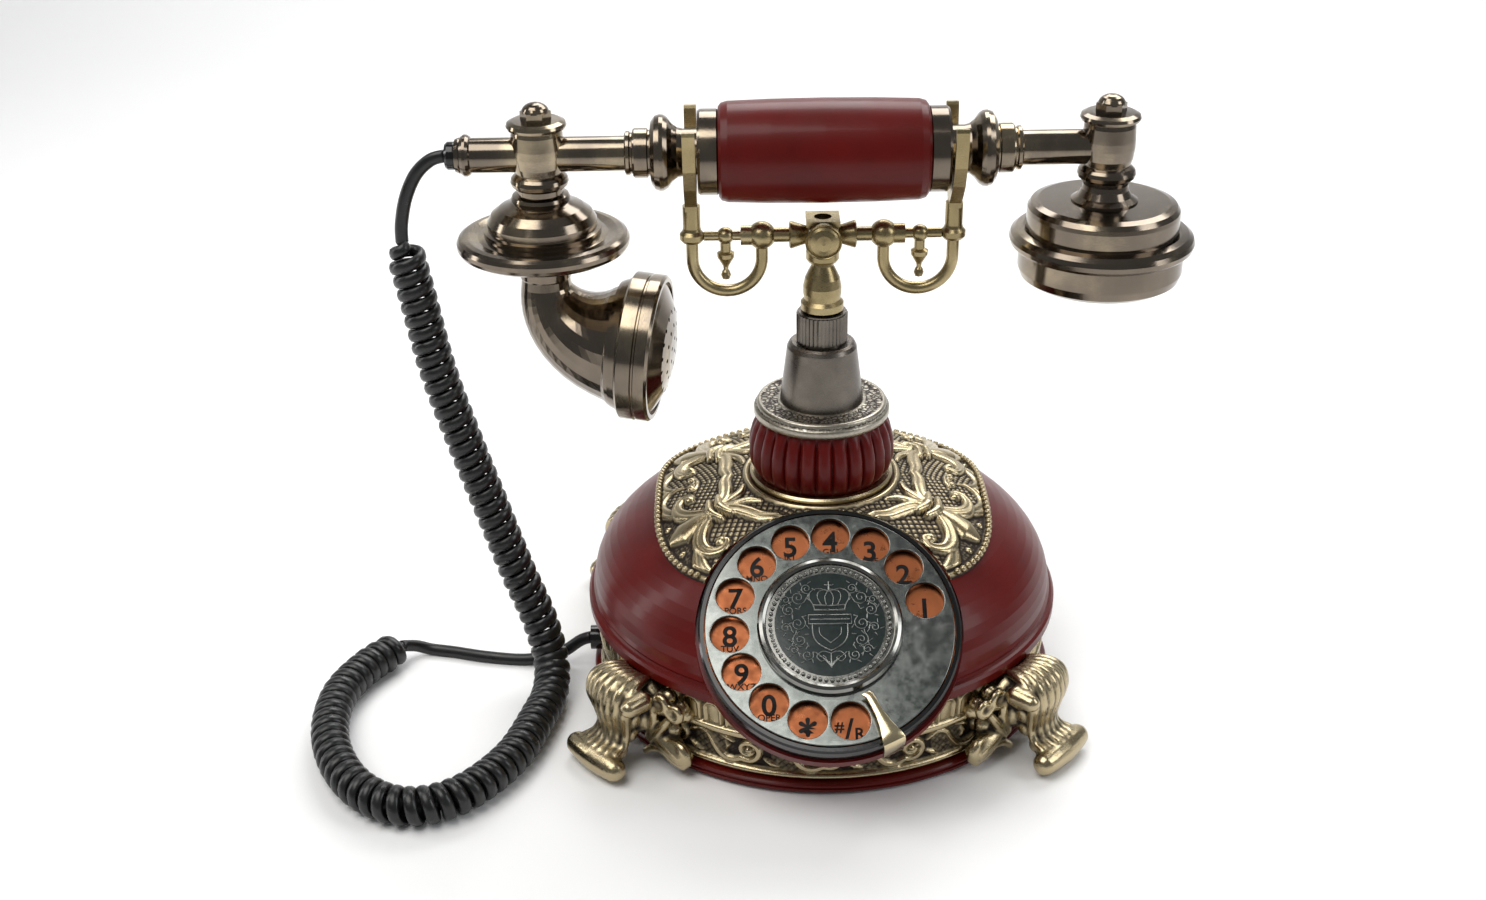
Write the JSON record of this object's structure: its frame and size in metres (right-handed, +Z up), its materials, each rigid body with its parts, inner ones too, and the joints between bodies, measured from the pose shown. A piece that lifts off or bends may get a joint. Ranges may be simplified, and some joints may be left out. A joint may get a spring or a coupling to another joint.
{
  "type": "vintage cradle telephone with rotary dial",
  "caption": "French-style desk telephone: domed base on scrolled feet, tilted rotary dial, turned column with a sprung cradle, and a lift-off handset with a horn mouthpiece and a curly cord.",
  "frame": {"origin": "on the floor under the middle of the round base", "axes": "+Z up, -Y to the front where the dial faces, +X to the user's right, along the handset towards the earpiece"},
  "size_m": [0.3413, 0.2105, 0.2406],
  "materials": {
    "felt": "matt",
    "lacquer": "polished dark red lacquer",
    "aged_gold": "antique gold plating with dark patina in the hollows",
    "gunmetal": "brushed gunmetal",
    "steel": "plated",
    "black_plastic": "gloss",
    "red_plastic": "satin",
    "board": "satin",
    "copper_plate": "satin copper print",
    "pale_gold": "polished",
    "dark_chrome": "dark mirror",
    "bright_chrome": "polished",
    "label": "gloss",
    "gear_brass": "plain",
    "cradle_brass": "antique satin",
    "dark_nickel": "polished dark nickel with rubbed bronze edges",
    "cord_black": "satin"
  },
  "bodies": {
    "base": {"base_felt": "felt", "base_plate": "lacquer", "base_screws": "steel", "skirt": "aged_gold", "feet": "aged_gold", "dome_shell": "lacquer", "dome_ornament": "aged_gold", "bulb_ring": "aged_gold", "bulb": "lacquer", "column_disc": "aged_gold", "column_cone": "gunmetal", "knurled_nut": "gunmetal", "column_tube": "steel", "hook_switch": "black_plastic", "circuit_board": "board", "line_socket": "black_plastic", "cord_gland": "black_plastic", "dial_bezel": "black_plastic", "number_plate": "copper_plate", "finger_stop": "pale_gold", "dial_mechanism": "steel", "cord_upper": "cord_black", "cord_coil": "cord_black", "cord_lower": "cord_black"},
    "ringer_lever": {"ringer_switch": "black_plastic"},
    "button": {"switch_button": "red_plastic"},
    "dial": {"finger_wheel": "dark_chrome", "medallion_ring": "bright_chrome", "medallion_label": "label", "dial_shaft": "gear_brass"},
    "governor": {"governor": "gear_brass"},
    "cradle": {"plunger_rod": "steel", "baluster": "cradle_brass", "head_block": "cradle_brass", "front_boss": "cradle_brass", "cross_rods": "cradle_brass", "hook_left": "cradle_brass", "hook_right": "cradle_brass", "yoke_left": "cradle_brass", "yoke_right": "cradle_brass", "finials": "cradle_brass"},
    "handset": {"grip": "lacquer", "ferrules": "dark_nickel", "necks": "dark_nickel", "arms": "dark_nickel", "stub_arm": "dark_nickel", "strain_relief": "black_plastic", "tie_tube": "steel", "pillar_left": "dark_nickel", "pillar_right": "dark_nickel", "cap_nuts": "dark_nickel", "mouth_dish": "dark_nickel", "horn": "dark_nickel", "horn_rim": "dark_nickel", "mouth_grille": "dark_nickel", "microphone": "black_plastic", "ear_drum": "dark_nickel", "ear_ring": "dark_nickel", "ear_cover": "dark_nickel", "speaker": "black_plastic"}
  },
  "joints": [
    {"name": "dial_turn", "type": "hinge", "parent": "base", "child": "dial", "pos_m": [0, -0.076, 0.0636], "axis": [0, 0.5736, -0.8192], "range_deg": [0, 330], "stiffness_Nm_per_rad": 0.004, "springref_deg": -28.65},
    {"name": "governor_spin", "type": "hinge", "parent": "base", "child": "governor", "pos_m": [-0.01365, -0.08001, 0.04553], "axis": [0, 0.5736, -0.8192], "range_deg": [-991, 1]},
    {"name": "handset_lift", "type": "slide", "parent": "base", "child": "handset", "axis": [0, 0, 1], "range_m": [0, 0.12]},
    {"name": "cradle_lift", "type": "slide", "parent": "base", "child": "cradle", "axis": [0, 0, 1], "range_m": [0, 0.004]},
    {"name": "hook_button", "type": "slide", "parent": "base", "child": "button", "axis": [0, 0, 1], "range_m": [0, 0.0015]},
    {"name": "ringer_slide", "type": "slide", "parent": "base", "child": "ringer_lever", "axis": [0.9563, 0.2924, 0], "range_m": [-0.0025, 0.0025]}
  ],
  "couplings": [
    {"joint": "governor_spin", "follows": "dial_turn", "ratio": -3},
    {"joint": "cradle_lift", "follows": "handset_lift", "ratio": 0.033333},
    {"joint": "hook_button", "follows": "handset_lift", "ratio": 0.0125}
  ]
}
